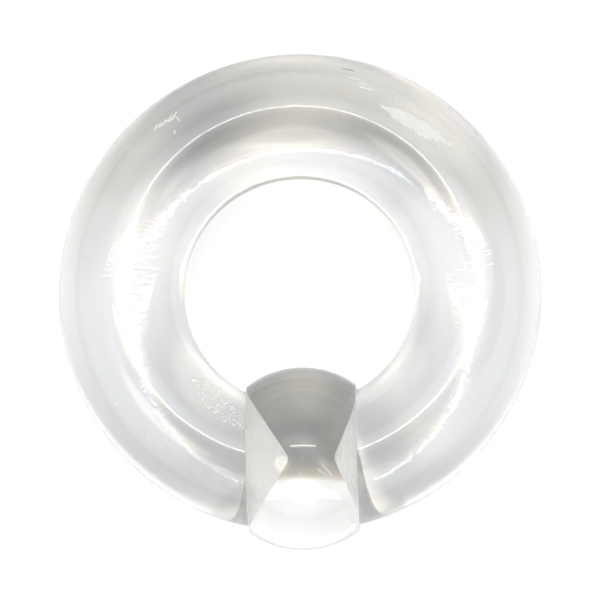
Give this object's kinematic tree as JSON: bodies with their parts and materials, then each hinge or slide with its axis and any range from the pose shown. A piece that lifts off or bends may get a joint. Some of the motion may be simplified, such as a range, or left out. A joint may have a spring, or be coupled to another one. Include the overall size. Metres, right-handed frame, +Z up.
{
  "type": "captive bead ring",
  "caption": "Clear acrylic captive bead ring: a thick round-rod hoop whose gap is closed by a flat-sided ball with conical dimples.",
  "frame": {"origin": "on the surface that the ring lies on, under the middle of its outline", "axes": "+Z up, -Y towards the bead, X along the axis that the bead turns about"},
  "size_m": [0.0306, 0.0316, 0.0115],
  "materials": {
    "hoop_acrylic": "polished clear",
    "bead_acrylic": "polished clear"
  },
  "bodies": {
    "ring": {"ring": "hoop_acrylic"},
    "bead": {"bead": "bead_acrylic"}
  },
  "joints": [
    {"name": "bead_spin", "type": "hinge", "parent": "ring", "child": "bead", "pos_m": [0, -0.01008, 0.00575], "axis": [1, 0, 0], "continuous": true}
  ]
}
